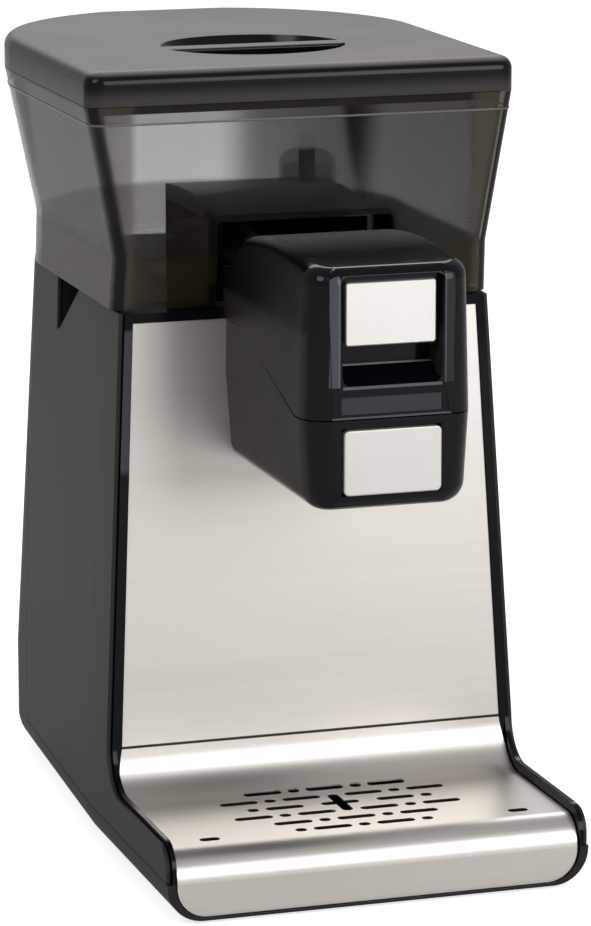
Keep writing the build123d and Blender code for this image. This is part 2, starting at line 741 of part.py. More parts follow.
def head_upper(inset):
    """The jaw's form with its rounded crown."""
    low, high = (head_plan(inset, head_half(z), z) for z in (seam_front_z, head_top + 3))
    form = loft([low, high], ruled=True) & crown_side(inset)

    def on_crown(edge):
        x, y, z = edge.center()
        ahead = y < jaw_back - inset - 1
        outer_edge = abs(x) > 12 or y < head_front + inset + 4
        return z > jaw_pin_z and ahead and outer_edge and abs(edge.tangent_at(0.5).Z) < 0.9
    return fillet(form.edges().filter_by(on_crown), crown_round - inset)


seam_far, seam_near = head_end + 10, head_front - 20
seam = [(seam_far, seam_back_z), (-80, seam_back_z), (-92, seam_back_z - 2.7),
        (head_front + 18, seam_front_z), (seam_near, seam_front_z)]
above = side_prism(seam + [(seam_near, above_all), (seam_far, above_all)], head_reach)
below = side_prism([(y, z - seam_gap) for y, z in seam]
                   + [(seam_near, under_head), (seam_far, under_head)], head_reach)
lower, lower_space = head_lower(0) & below, head_lower(head_wall) & below
upper, upper_space = head_upper(0) & above, head_upper(head_wall) & above


def behind(setback):
    """All that lies behind the leaning panel, or this far in front of it."""
    return side_prism([(panel_y(under_head) - setback, under_head), (panel_y(over_head) - setback, over_head),
                       (20, over_head), (20, under_head)], head_reach)


housing = lower - lower_space - behind(0)
housing += (lower & behind(head_wall)) - behind(0)
neck = block(-neck_half, neck_half, -66, chassis_y, neck_low, neck_high)
neck_space = block(head_wall - neck_half, neck_half - head_wall, -70, chassis_y + 1,
                   neck_low + head_wall, neck_high - head_wall)
housing = housing + neck - neck_space
shelf_top = pod_rim_z - 2.3
shelf = head_lower(head_wall - 0.2) & block(
    -head_reach, head_reach, pod_y - 42, pod_y + pod_rim, shelf_top - head_wall, shelf_top)
housing += shelf
housing -= rod_z(0, pod_y, pod_floor_z - 5, pod_rim_z + 1, pod_radius + pod_wall + 0.4)
housing -= rod_z(0, pod_y, head_bottom - 5, head_bottom + 8, nozzle_radius + 2.0)
housing -= block(-button_half - button_gap, button_half + button_gap, head_front - 5, head_front + head_wall + 2,
                 button_low - button_gap, button_high + button_gap)
bracket_y = head_front + 14.0
button_z = (button_low + button_high) / 2
guide = block(-head_half_low, head_half_low, bracket_y, bracket_y + head_wall, head_bottom + 2, shelf_top - 1)
guide = guide & head_lower(head_wall - 0.2)
guide -= rod_y(0, bracket_y - 5, bracket_y + 9, button_z, stem_radius + 0.1)
housing += guide
keep("head_housing", housing)

# Pod holder with its nozzle
holder = rod_z(0, pod_y, pod_floor_z, pod_rim_z - pod_wall, pod_radius + pod_wall)
holder += rod_z(0, pod_y, pod_rim_z - pod_wall, pod_rim_z, pod_rim)
holder -= rod_z(0, pod_y, pod_floor_z + pod_wall, pod_rim_z + 5, pod_radius)
holder += rod_z(0, pod_y, nozzle_tip, pod_floor_z + 1, nozzle_radius)
holder -= rod_z(0, pod_y, nozzle_tip - 1, pod_floor_z + 9, nozzle_radius - 1.6)
keep("pod_holder", holder)

# Jaw: cover at the back, bezel with the grip at the front
jaw = upper - upper_space
web_z = shower_z + 25.0
jaw += upper_space & block(-head_reach, head_reach, jaw_split, jaw_back - 6, web_z, web_z + head_wall)
jaw_cover = jaw & block(-head_reach, head_reach, jaw_split, 0, under_head, above_all)
for s in (-1, 1):
    x0, x1 = sorted((s * jaw_knuckle_in, s * jaw_knuckle_out))
    jaw_cover += rod_x(x0, x1, jaw_pin_y, jaw_pin_z, jaw_barrel)
jaw_cover -= rod_x(-jaw_knuckle_in, jaw_knuckle_in, jaw_pin_y, jaw_pin_z, jaw_barrel + side_gap)
jaw_cover -= rod_x(-head_reach, head_reach, jaw_pin_y, jaw_pin_z, jaw_pin + pin_clear)
shower_boss = 9.0
jaw_cover -= rod_z(0, pod_y, web_z - 5, web_z + 9, shower_boss + 0.1)
keep("head_cover", jaw_cover)

ahead, rim_low = head_front - 20, seam_front_z + 1
bezel = jaw & block(-head_reach, head_reach, ahead, jaw_split, under_head, above_all)
bezel += upper & block(-window_half - 3, window_half + 3, ahead, jaw_split, seam_front_z, above_all)
rim = head_upper(-rim_raise) & front_prism(
    [(-rim_half_low, rim_low), (rim_half_low, rim_low), (rim_half, rim_top), (-rim_half, rim_top)],
    ahead, jaw_split, {2: rim_round, 3: rim_round})
bezel += rim & above
plate_back, plate_gap = plate_front + plate_thick, 0.8
window = side_prism([(ahead, window_low), (head_front + 2, window_low), (ledge_y, ledge_z), (ledge_y + 3, ledge_z),
                     (ledge_y + 3, plate_low - plate_gap), (plate_back, plate_low - plate_gap),
                     (plate_back, window_high), (ahead, window_high)], window_half, {4: 2})
bezel -= window & front_prism([(-window_half_low, window_low), (window_half_low, window_low),
                               (window_half, window_high), (-window_half, window_high)],
                              ahead, jaw_split, {0: window_round, 1: window_round, 2: 2, 3: 2})
# The lip below the recess: a sunk field with mitred shoulders and a sunk panel in it
lip_foot = rim_half_low - 1
bezel -= front_prism([(-lip_foot, lip_low - 0.8), (lip_foot, lip_low - 0.8), (lip_shoulder, lip_top - 2),
                      (lip_shoulder - 2, lip_top), (2 - lip_shoulder, lip_top), (-lip_shoulder, lip_top - 2)],
                     ahead, head_front - rim_raise + lip_deep)
bezel -= front_prism([(-lip_half, lip_low), (lip_half, lip_low), (lip_half, lip_high), (-lip_half, lip_high)],
                     ahead, head_front - rim_raise + 2 * lip_deep, {0: 1, 1: 1, 2: 1, 3: 1})
keep("head_bezel", bezel)


def rounded_plate(half, low, high, front, thick, corner):
    """A flat plate that faces forward."""
    corners = [(-half, low), (half, low), (half, high), (-half, high)]
    return front_prism(corners, front, front + thick, {index: corner for index in range(4)})


plate = rounded_plate(plate_half, plate_low, plate_high, plate_front, plate_thick, 1.5)
plate = chamfer(plate.faces().sort_by(Axis.Y)[0].edges(), 0.5)
keep("upper_plate", plate)

# Shower, gasket and the water way in the jaw
shower_thick = 2.5
shower = rod_z(0, pod_y, shower_z, shower_z + shower_thick, pod_rim - 0.2)
shower += rod_z(0, pod_y, shower_z - shower_thick + 0.1, shower_z, pod_radius - 3)
shower += rod_z(0, pod_y, shower_z + shower_thick, web_z + 4, shower_boss)
shower_rings = ((8, 6), (16, 12), (22, 16))       # radius of each ring and its number of holes
for ring, count in shower_rings:
    for i in range(count):
        a = 2 * math.pi * i / count
        shower -= rod_z(ring * math.cos(a), pod_y + ring * math.sin(a), shower_z - 4, shower_z + 1, 0.9)
feed_z = shower_z + 13.0
feed_y = pod_y + 40.0
shower -= rod_y(0, pod_y, pod_y + 20, feed_z, hose_radius + 0.05)
keep("shower_head", shower)
gasket = rod_z(0, pod_y, pod_rim_z + fit_gap, shower_z, pod_rim - 0.4)
gasket -= rod_z(0, pod_y, pod_rim_z - 1, shower_z + 1, pod_radius - 1.5)
keep("head_gasket", gasket)
feed_end = shower_z - 1
feed = hose([(0, pod_y + 2, feed_z), (0, feed_y, feed_z), (0, feed_y, feed_end)], 7, hose_radius, hose_bore)
keep("feed_tube", feed)

keep("head_hinge_pin", rod_x(-jaw_knuckle_out, jaw_knuckle_out, jaw_pin_y, jaw_pin_z, jaw_pin))

# Bracket in the tunnel that carries the head's hinge pin
hinge_foot = body_top - 3.0
bracket_half, bracket_wall, chassis_back = 36.0, 2.5, chassis_y + chassis_thick
bracket = block(-bracket_half, bracket_half, chassis_back, notch_front - 1, hinge_foot - bracket_wall, hinge_foot)
for s in (-1, 1):
    x0, x1 = sorted((s * 9, s * (jaw_knuckle_in - side_gap)))
    ear = block(x0, x1, jaw_pin_y, chassis_y + 14, hinge_foot - 1, jaw_pin_z)
    ear += rod_x(x0, x1, jaw_pin_y, jaw_pin_z, jaw_barrel)
    bracket += ear - block(-head_reach, head_reach, -90, chassis_back, under_head, hinge_foot)
bracket += block(-bracket_half, bracket_half, chassis_back, chassis_back + bracket_wall, neck_high + 2, hinge_foot)
bracket -= rod_x(-head_reach, head_reach, jaw_pin_y, jaw_pin_z, jaw_pin)
keep("hinge_bracket", bracket)

# Brew button, its spring and switch
button = rounded_plate(button_half, button_low, button_high, button_front, button_thick, 2.5)
button = fillet(button.faces().sort_by(Axis.Y)[0].edges(), 0.7)
flange_y, flange_thick = head_front + head_wall + 1.2, 1.4
button += block(5 - button_half, button_half - 5, flange_y, flange_y + flange_thick,
                button_low - flange_extra, button_high + flange_extra)
button += block(1 - button_half, button_half - 1, button_front + button_thick - 0.5, flange_y + 0.5,
                button_low + 1, button_high - 1)
stem_end = bracket_y + 3.5
button += rod_y(0, flange_y + 1, stem_end, button_z, stem_radius)
keep("brew_button", button)
spring_wire = 0.5
spring_gap = spring_wire + 0.3
spring_front = flange_y + flange_thick + spring_gap
spring_long = bracket_y - spring_gap - spring_front
coil = Helix(pitch=spring_long / 5, height=spring_long, radius=stem_radius + 1.6)
wire = sweep(Plane(origin=coil @ 0, z_dir=coil % 0) * Circle(spring_wire), path=coil)
keep("button_spring", Pos(0, spring_front, button_z) * Rot(-90, 0, 0) * wire)
switch_front = stem_end + button_travel + 0.4
switch_body = block(-10, 10, switch_front, switch_front + 7, button_z - 3, button_z + 3)
switch_body += block(-8, 8, bracket_y + head_wall, switch_front + 1, button_z - 8.5, button_z - 5.5)
switch_body += block(-8, 8, switch_front, switch_front + 7, button_z - 8.5, button_z - 2.5)
keep("brew_switch", switch_body)

# Chassis plate behind the front panel
chassis = block(-chassis_half, chassis_half, chassis_y, chassis_y + chassis_thick, floor_z, neck_high + 8)
chassis += block(-chassis_half, chassis_half, chassis_y, chassis_y + 22, floor_z, floor_z + chassis_thick)
chassis -= block(-neck_half + 5, neck_half - 5, chassis_y - 5, chassis_y + 9, neck_low + 5, neck_high - 5)
keep("chassis_plate", chassis)

# Boiler with lid, heater, probe and stand
boiler = rod_z(0, boiler_y, boiler_low, boiler_high, boiler_radius)
boiler -= rod_z(0, boiler_y, boiler_low + boiler_wall, boiler_high + 1, boiler_radius - boiler_wall)
inlet_z = 50.0
boiler += rod_x(-boiler_radius - 7, 1 - boiler_radius, boiler_y, inlet_z, spout_radius)
boiler -= rod_x(-boiler_radius - 9, 9 - boiler_radius, boiler_y, inlet_z, spout_bore)
keep("boiler", boiler)
lid_top = boiler_high + boiler_lid_thick
spout_long = 6.0
hose_start = lid_top + spout_long + 0.2
out_y = boiler_y - 12
air_x, air_y = -26.0, boiler_y
boiler_lid = rod_z(0, boiler_y, boiler_high, lid_top, boiler_radius + 2)
for x, y in ((0, out_y), (air_x, air_y)):
    boiler_lid += rod_z(x, y, lid_top - 1, lid_top + spout_long, spout_radius)
    boiler_lid -= rod_z(x, y, boiler_high - 1, lid_top + 9, spout_bore)
rod_y0, probe_y = boiler_y + 16, boiler_y - 6
for x in (-rod_half, rod_half):
    boiler_lid -= rod_z(x, rod_y0, boiler_high - 1, lid_top + 1, rod_radius + 0.05)
boiler_lid -= rod_z(probe_x, probe_y, boiler_high - 1, lid_top + 1, probe_radius + 0.05)
keep("boiler_lid", boiler_lid)
heater_low = boiler_low + 18
heater_path = FilletPolyline((rod_half, rod_y0, lid_top + 8), (rod_half, rod_y0, heater_low),
                             (-rod_half, rod_y0, heater_low), (-rod_half, rod_y0, lid_top + 8), radius=rod_half - 2)
heater = sweep(Plane(origin=heater_path @ 0, z_dir=heater_path % 0) * Circle(rod_radius), path=heater_path)
keep("heating_element", heater)
probe = rod_z(probe_x, probe_y, boiler_high - 50, lid_top + 6, probe_radius)
keep("temperature_probe", probe + rod_z(probe_x, probe_y, lid_top, lid_top + 4, 2 * probe_radius))
stand = rod_z(0, boiler_y, floor_z, boiler_low, boiler_radius + 2)
stand -= rod_z(0, boiler_y, floor_z - 1, boiler_low - 3, boiler_radius - 2)
stand -= rod_z(0, boiler_y, floor_z - 1, boiler_low + 1, boiler_radius - 10)
for turn in range(4):
    gap = block(20, boiler_radius + 16, -14, 14, floor_z - 1, boiler_low - 8)
    stand -= Pos(0, boiler_y, 0) * Rot(0, 0, 45 + turn * 90) * gap
keep("boiler_stand", stand)

# Fill valve under the tank's outlet, and the hoses
valve_half, valve_tall, valve_spout = 11.0, 22.0, 8.0
valve_top = foot_height - port_drop - fit_gap
valve_end = valve_top - valve_tall - valve_spout
valve = block(valve_x - valve_half, valve_x + valve_half, valve_y - valve_half, valve_y + valve_half,
              valve_top - valve_tall, valve_top)
valve += rod_y(valve_x, valve_y + 10, valve_y + 30, valve_top - valve_half, 9)
valve += rod_z(valve_x, valve_y, valve_end, valve_top - valve_tall + 1, spout_radius)
valve -= rod_z(valve_x, valve_y, valve_end - 1, valve_top + 1, spout_bore)
keep("fill_valve", valve)
fill_route = [(valve_x, valve_y, valve_end - 0.2), (valve_x, valve_y, inlet_z),
              (-boiler_radius - 7.2, boiler_y, inlet_z)]
keep("fill_hose", hose(fill_route, 9, hose_radius, hose_bore))
port_half = 6.0
port = rod_z(0, feed_y, hose_z + port_half, feed_end - 0.4, hose_radius)
port += block(-port_half, port_half, feed_y - port_half, feed_y + port_half,
              hose_z - port_half, hose_z + port_half + 1)
port += block(-4, 4, feed_y - 4, feed_y + 4, head_bottom + head_wall, hose_z - 5)
port -= rod_z(0, feed_y, hose_z, feed_end + 4, hose_bore)
port -= rod_y(0, feed_y, feed_y + 9, hose_z, hose_bore)
keep("water_port", port)
hot_route = [(0, out_y, hose_start), (0, out_y, hose_z), (0, feed_y + port_half + 0.2, hose_z)]
keep("hot_water_hose", hose(hot_route, 9, hose_radius, hose_bore))
pump_low, pump_high, pump_half_x, pump_half_y = floor_z + 4, 56.0, 20.0, 24.0
motor_top, nozzle_top = pump_high + 16, pump_high + 24
pump = block(pump_x - pump_half_x, pump_x + pump_half_x, pump_y - pump_half_y, pump_y + pump_half_y,
             pump_low, pump_high)
pump = fillet(pump.edges().filter_by(Axis.Z), 5)
pump += rod_z(pump_x, pump_y, pump_high - 1, motor_top, 15)
pump += rod_z(pump_x, pump_y, motor_top - 1, nozzle_top, 2.6)
keep("air_pump", pump)
mounts = []
for dx in (-14, 14):
    for dy, ground in ((-14, floor_z + chassis_thick), (18, floor_z)):
        mounts.append(rod_z(pump_x + dx, pump_y + dy, ground, pump_low, 4))
keep("pump_mounts", Compound(mounts))
air_route = [(pump_x, pump_y, nozzle_top + 0.2), (pump_x, pump_y, hose_z),
             (air_x, air_y, hose_z), (air_x, air_y, hose_start)]
keep("air_hose", hose(air_route, 8, 3.2, 2.0))

# Control board on stand-offs behind the chassis plate
board_thick, board_hole = 1.6, 1.65
board_left, board_right, board_low, board_high = 8.0, 66.0, 66.0, 150.0
board_y = chassis_back + 6
board_back = board_y + board_thick
board = block(board_left, board_right, board_y, board_back, board_low, board_high)
# From the board's lower left corner: left, right, low and high edges, and how far each stands out
parts_on_board = ((6, 22, 6, 26, 16), (28, 50, 8, 22, 12), (8, 18, 44, 62, 9), (32, 52, 46, 74, 7))
for x0, x1, z0, z1, tall in parts_on_board:
    board += block(board_left + x0, board_left + x1, board_back - 0.1, board_back + tall,
                   board_low + z0, board_low + z1)
board_holes = [(x, z) for x in (board_left + 4, board_right - 4) for z in (board_low + 4, board_high - 4)]
standoffs, board_screws = [], []
for x, z in board_holes:
    board -= rod_y(x, board_y - 1, board_y + 3, z, board_hole)
    standoffs.append(rod_y(x, chassis_back, board_y, z, 3) - rod_y(x, chassis_back + 1, board_y + 1, z, board_hole))
    shank = rod_y(x, board_y - 4, board_y + 2, z, board_hole - 0.05)
    board_screws.append(rod_y(x, board_back, board_back + 1.8, z, 2.6) + shank)
keep("control_board", board)
keep("board_standoffs", Compound(standoffs))
keep("board_screws", Compound(board_screws))

# Cord gland and power switch at the back
cord_radius, gland_radius = 4.0, gland_hole - 0.1
gland = rod_y(gland_x, back_y - shell_wall - 8, back_y + 4, gland_z, gland_radius)
gland += rod_y(gland_x, back_y, back_y + 3, gland_z, gland_radius + 2.6)
gland -= rod_y(gland_x, back_y - 20, back_y + 9, gland_z, cord_radius)
keep("cord_gland", gland)
nut = rod_y(gland_x, back_y - shell_wall - 4, back_y - shell_wall, gland_z, gland_radius + 3.1)
keep("gland_nut", nut - rod_y(gland_x, back_y - 20, back_y, gland_z, gland_radius + 0.05))


def at_switch(half_x, y0, y1, half_z):
    return block(switch_x - half_x, switch_x + half_x, y0, y1, switch_z - half_z, switch_z + half_z)


socket = at_switch(socket_half_x - 0.2, back_y - 16, back_y, socket_half_z - 0.2)
socket += at_switch(socket_half_x + 2, back_y, back_y + 1.6, socket_half_z + 2)
socket -= at_switch(socket_half_x - 2, back_y - 13, back_y + 9, socket_half_z - 1.6)
rocker_y = back_y - 3.0
rocker_tilt = 7.0           # it rests off, tilted one way
socket -= rod_x(switch_x - socket_half_x + 1, switch_x + socket_half_x - 1, rocker_y, switch_z, 1.0)
keep("switch_socket", socket)
# The rocker's side view, drawn for one half as distance behind the back wall and height above the middle
half_view = [(-9, 2.4), (-0.4, 4.6), (0.9, 4.6), (0.4, 0)]
rocker_view = [(back_y + y, switch_z - z) for y, z in half_view]
rocker_view += [(back_y + y, switch_z + z) for y, z in half_view[2::-1]]
rocker = Pos(switch_x, 0, 0) * side_prism(rocker_view, socket_half_x - 2.4)
rocker += rod_x(switch_x - socket_half_x + 1.2, switch_x + socket_half_x - 1.2, rocker_y, switch_z, 0.95)
rocker = Pos(0, rocker_y, switch_z) * Rot(-rocker_tilt, 0, 0) * Pos(0, -rocker_y, -switch_z) * rocker
keep("power_rocker", rocker)

for name, shape in NODES.items():
    export_step(shape, f"parts/{name}.step")
spread = Compound(list(NODES.values())).bounding_box()
print("box", [round(v, 2) for v in (*spread.min, *spread.max)], "nodes", len(NODES))
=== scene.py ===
# %% [markdown]
# # A pour-over coffee brewer
# The brewer's shapes come from its CAD model, which is loaded first and never moved.
# Everything after that is looks: a camera, one finish for each kind of surface, the small
# rounded edges and beads that make moulded plastic read as real, and a studio.

# %% Load the frame
import bpy
import json
import math
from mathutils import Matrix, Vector


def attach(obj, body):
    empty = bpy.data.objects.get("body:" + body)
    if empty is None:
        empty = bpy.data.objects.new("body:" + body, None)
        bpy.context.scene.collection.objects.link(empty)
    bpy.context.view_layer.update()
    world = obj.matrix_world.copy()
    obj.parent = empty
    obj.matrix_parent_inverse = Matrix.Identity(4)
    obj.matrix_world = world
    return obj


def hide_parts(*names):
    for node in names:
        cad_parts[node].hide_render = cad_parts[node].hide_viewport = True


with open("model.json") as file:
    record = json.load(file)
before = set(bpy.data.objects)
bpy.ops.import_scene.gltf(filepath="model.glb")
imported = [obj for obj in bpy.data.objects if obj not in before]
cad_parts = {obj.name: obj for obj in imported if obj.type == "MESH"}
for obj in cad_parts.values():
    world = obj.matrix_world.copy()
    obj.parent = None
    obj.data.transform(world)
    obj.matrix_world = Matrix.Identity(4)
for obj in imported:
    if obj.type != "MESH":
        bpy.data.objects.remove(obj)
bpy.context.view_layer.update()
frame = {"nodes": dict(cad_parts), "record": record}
NODES = frame["nodes"]
print("CAD nodes:", len(NODES))

# %% [markdown]
# ## Camera
# The brewer is seen from its left and a little above, through a long lens. The long lens keeps
# the brewer's sides nearly parallel, so the camera stands about two metres away. The Standard
# view transform keeps a white studio white.

# %% Camera
TILT, TURN = 12.371, -17.789

camera_data = bpy.data.cameras.new("camera")
camera_data.lens = 170.70
camera_data.sensor_width = 36.0
camera_data.clip_end = 50.0
camera = bpy.data.objects.new("camera", camera_data)
camera.location = (-0.6051, -1.9298, 0.6100)
camera.rotation_euler = (math.radians(90.0 - TILT), 0.0, math.radians(TURN))
bpy.context.scene.collection.objects.link(camera)
bpy.context.scene.camera = camera
bpy.context.scene.view_settings.view_transform = "Standard"
print("camera at", tuple(camera.location))

# %% [markdown]
# ## Reckoning with sockets
# A finish is a small sum: this noise times that mask, plus a little roughness. The class below
# lets a socket be used in ordinary Python sums, and each sum adds its own Math node.


# %% A socket that can be reckoned with
class Amount:
    def __init__(self, finish, socket):
        self.finish = finish
        self.socket = socket

    def math(self, operation, *values):
        inputs = dict(enumerate(values))
        return self.finish.node("ShaderNodeMath", {"operation": operation}, inputs)

    def __add__(self, other):
        return self.math("ADD", self, other)

    def __sub__(self, other):
        return self.math("SUBTRACT", self, other)

    def __mul__(self, other):
        return self.math("MULTIPLY", self, other)

    def __gt__(self, other):
        return self.math("GREATER_THAN", self, other)

    def __lt__(self, other):
        return self.math("LESS_THAN", self, other)

    def __abs__(self):
        return self.math("ABSOLUTE", self)

    def __radd__(self, other):
        return self.math("ADD", other, self)

    def __rsub__(self, other):
        return self.math("SUBTRACT", other, self)

    def __rmul__(self, other):
        return self.math("MULTIPLY", other, self)

    def at_least(self, other):
        return self.math("MAXIMUM", self, other)

    def at_most(self, other):
        return self.math("MINIMUM", self, other)

    def ramp(self, low, high):
        """0 below low, 1 above high, smooth in between."""
        inputs = {"Value": self, "From Min": low, "From Max": high}
        return self.finish.node("ShaderNodeMapRange", {"interpolation_type": "SMOOTHSTEP"}, inputs)


print("beside sums, a socket knows:", [name for name in vars(Amount) if name[0] != "_"])

# %% [markdown]
# ## A finish
# Each material is made by one short class. Its only way to add a node is one method that takes
# the node's type, its settings and its inputs, so every finish below reads as a recipe. Places
# are object coordinates in metres. All pieces sit unmoved at the origin, so a place in a finish
# is the same place on the brewer.


# %% The finish class
class Finish:
    def __init__(self, name):
        self.material = bpy.data.materials.new(name)
        self.material.use_nodes = True
        self.tree = self.material.node_tree
        self.tree.nodes.clear()
        self.place = self.node("ShaderNodeTexCoord", output="Object")
        self.x, self.y, self.z = (self.part_of(self.place, axis) for axis in "XYZ")

    def node(self, kind, settings=None, inputs=None, output=0):
        made = self.tree.nodes.new(kind)
        for name, value in (settings or {}).items():
            setattr(made, name, value)
        for name, value in (inputs or {}).items():
            socket = made.inputs[name]
            if isinstance(value, Amount):
                self.tree.links.new(value.socket, socket)
            elif socket.type == "RGBA":
                socket.default_value = (*value, 1.0)
            else:
                socket.default_value = value
        return Amount(self, made.outputs[output]) if made.outputs else made

    def part_of(self, vector, axis):
        return self.node("ShaderNodeSeparateXYZ", {}, {"Vector": vector}, axis)

    def facing(self, axis):
        """How squarely the surface faces along an axis, signed."""
        return self.part_of(self.node("ShaderNodeNewGeometry", output="Normal"), axis)

    def within(self, **ranges):
        """1 inside a box, such as y=(-0.1, 0.1), else 0. The letter w is x without its sign."""
        inside = 1.0
        for axis, (low, high) in ranges.items():
            place = abs(self.x) if axis == "w" else getattr(self, axis)
            inside = inside * (place > low) * (place < high)
        return inside

    def noise(self, scale, detail=2.0, rough=0.5, stretch=None):
        place = self.place
        if stretch:
            place = self.node("ShaderNodeMapping", {}, {"Vector": place, "Scale": stretch})
        inputs = {"Vector": place, "Scale": scale, "Detail": detail, "Roughness": rough}
        return self.node("ShaderNodeTexNoise", {}, inputs)

    def blend(self, amount, first, second):
        """The colour first where amount is 0, and second where it is 1."""
        factor_socket, first_socket, second_socket, colour_output = 0, 6, 7, 2
        inputs = {factor_socket: amount, first_socket: first, second_socket: second}
        return self.node("ShaderNodeMix", {"data_type": "RGBA"}, inputs, colour_output)

    def bump(self, height, distance, strength=1.0):
        inputs = {"Height": height, "Distance": distance, "Strength": strength}
        return self.node("ShaderNodeBump", {}, inputs)

    def surface(self, inputs):
        shader = self.node("ShaderNodeBsdfPrincipled", {}, inputs)
        self.node("ShaderNodeOutputMaterial", {}, {"Surface": shader})
        return self.material


def scaled(values, factor):
    return tuple(value * factor for value in values)


print("a finish knows:", [name for name in vars(Finish) if name[0] != "_"])

# %% [markdown]
# ## Stainless sheet
# The panel and the tray cover are brushed along X. Brushing is a noise that is stretched a
# hundredfold along the strokes, and it goes to the roughness and to a very shallow bump. A
# slower, softer noise gives the faint bands that a rolled sheet shows in a wide reflection.
# The machined and cast metals inside use the same recipe with other strokes.

# %% Brushed stainless
# The dark colour painted as shade in the drain slots and in the gap under the panel.
PAINTED_SHADE_TINT = (0.006, 0.005, 0.004)


def brushed_steel(name, tint, strokes, rough=0.29, shade=None):
    steel = Finish(name)
    fine = steel.noise(1.0, 3.0, 0.6, strokes)
    broad = steel.noise(1.0, 2.0, 0.5, scaled(strokes, 0.12))
    cloud = steel.noise(9.0, 2.0)
    streak = fine * 0.8 + broad * 0.2
    colour = steel.blend(streak.ramp(0.3, 0.7), scaled(tint, 0.955), tint)
    metal = 1.0
    if shade:
        # painted shade: where the mask is 1, the steel turns dark and stops being metal
        painted_shade = shade(steel)
        colour = steel.blend(painted_shade, colour, PAINTED_SHADE_TINT)
        metal = 1.0 - painted_shade
    return steel.surface({
        "Base Color": colour, "Metallic": metal,
        "Roughness": rough + streak * 0.10 + cloud * 0.05,
        "Normal": steel.bump(fine, 0.00002, 0.5)})


def painted_slot_shade(steel):
    """1 where shade is painted: on the walls of the drain slots, which fall dark in their hollow,
    and along the shadow line where the tray's cover meets the panel."""
    upright = abs(steel.facing("Z")) < 0.5
    slot_walls = upright * steel.within(y=(-0.1600, -0.0720), z=(0.0298, 0.03155))
    shadow_line = steel.within(z=(0.0534, 0.0547))
    return slot_walls.at_least(shadow_line * 0.9)


ALONG_X = (4.0, 1500.0, 1500.0)
EVEN_GRAIN = (900.0, 900.0, 900.0)
sheet_steel = brushed_steel("sheet_steel", (0.745, 0.715, 0.68), ALONG_X, 0.30, painted_slot_shade)
plate_silver = brushed_steel("plate_silver", (0.80, 0.785, 0.765), EVEN_GRAIN, 0.40)
button_silver = brushed_steel("button_silver", (0.72, 0.70, 0.675), EVEN_GRAIN, 0.40)
works_steel = brushed_steel("works_steel", (0.56, 0.56, 0.56), (500.0, 500.0, 12.0))
zinc_sheet = brushed_steel("zinc_sheet", (0.46, 0.47, 0.49), (60.0, 60.0, 60.0))
brass = brushed_steel("brass", (0.66, 0.47, 0.20), (400.0, 400.0, 40.0))
print("nodes in the sheet steel:", len(sheet_steel.node_tree.nodes))

# %% [markdown]
# ## Gloss black
# The frame and the brew head are polished black plastic. Real gloss is never perfectly flat: a
# slow waviness bends the reflections, and faint dust and handling marks raise the roughness.
# The specular level is kept low, because the plastic stays deep black beside the bright steel.
# Painted light and reflections for a certain piece come from a function of their own, which
# picks areas by their place and by the way they face, and also says how much rougher they are.

# %% Gloss black plastic
DEEP_BLACK = (0.0022, 0.0026, 0.0040)


def head_shades(black, colour):
    """The head's flanks are satin, with a painted brown reflection below its shoulder, and painted
    grey light on the back of its crown.
    """
    flank = abs(black.facing("X")).ramp(0.80, 0.97)
    # painted reflection: a brown tint on the flanks below the shoulder
    flank_reflection = flank * (1.0 - black.z.ramp(0.2590, 0.2640))
    # painted light: the crown turns grey towards the back, where it is lit
    crown = black.facing("Z").ramp(0.60, 0.95) * black.y.ramp(-0.1600, -0.0900)
    colour = black.blend(flank_reflection, colour, (0.021, 0.018, 0.0155))
    return black.blend(crown, colour, (0.150, 0.145, 0.135)), flank * 0.36 + crown * 0.20


def frame_shades(black, colour):
    """The left upright of the frame is lit in its upper half."""
    upper = black.z.ramp(0.1790, 0.1830) * (1.0 - black.z.ramp(0.2440, 0.2465))
    lit = (black.facing("Y") < -0.30) * (black.x < -0.0600) * upper
    return black.blend(lit * 0.75, colour, (0.075, 0.083, 0.105)), lit * 0.10


def gloss_plastic(name, tint, rough, level, shades=None):
    black = Finish(name)
    wave = black.noise(38.0, 1.0)
    dust = black.noise(420.0, 4.0, 0.65)
    smear = black.noise(24.0, 3.0, 0.6)
    dusty_tint = tuple(channel + 0.008 for channel in tint)
    colour = black.blend(dust.ramp(0.66, 0.80) * 0.4, tint, dusty_tint)
    roughness = rough + smear.ramp(0.45, 0.75) * 0.07 + dust.ramp(0.6, 0.8) * 0.05
    if shades:
        colour, satin = shades(black, colour)
        roughness = roughness + satin
    return black.surface({
        "Base Color": colour, "Roughness": roughness, "Specular IOR Level": level,
        "Normal": black.bump(wave, 0.0005, 0.25)})


gloss_black = gloss_plastic("gloss_black", DEEP_BLACK, 0.11, 0.17)
frame_black = gloss_plastic("frame_black", DEEP_BLACK, 0.11, 0.17, frame_shades)
head_black = gloss_plastic("head_black", DEEP_BLACK, 0.11, 0.20, head_shades)
print("nodes in the head's black:", len(head_black.node_tree.nodes))

# %% [markdown]
# ## The bezel's facets
# The two bars beside the plate, the panel in the lip and the narrow ledge at the back of the
# finger recess are tilted facets that catch the bright room, so their reflection is painted on
# as blue grey. Fine painted highlights run along the bars' inner edges, the top lip, the sill and
# the seam below. Each is picked out by its place, and the gloss around them stays black.

# %% Bezel plastic
BEZEL_FRONT = (-0.2000, -0.1796)
WINDOW = (-0.0225, 0.0225)
BAR_HEIGHTS = (0.2385, 0.2886)


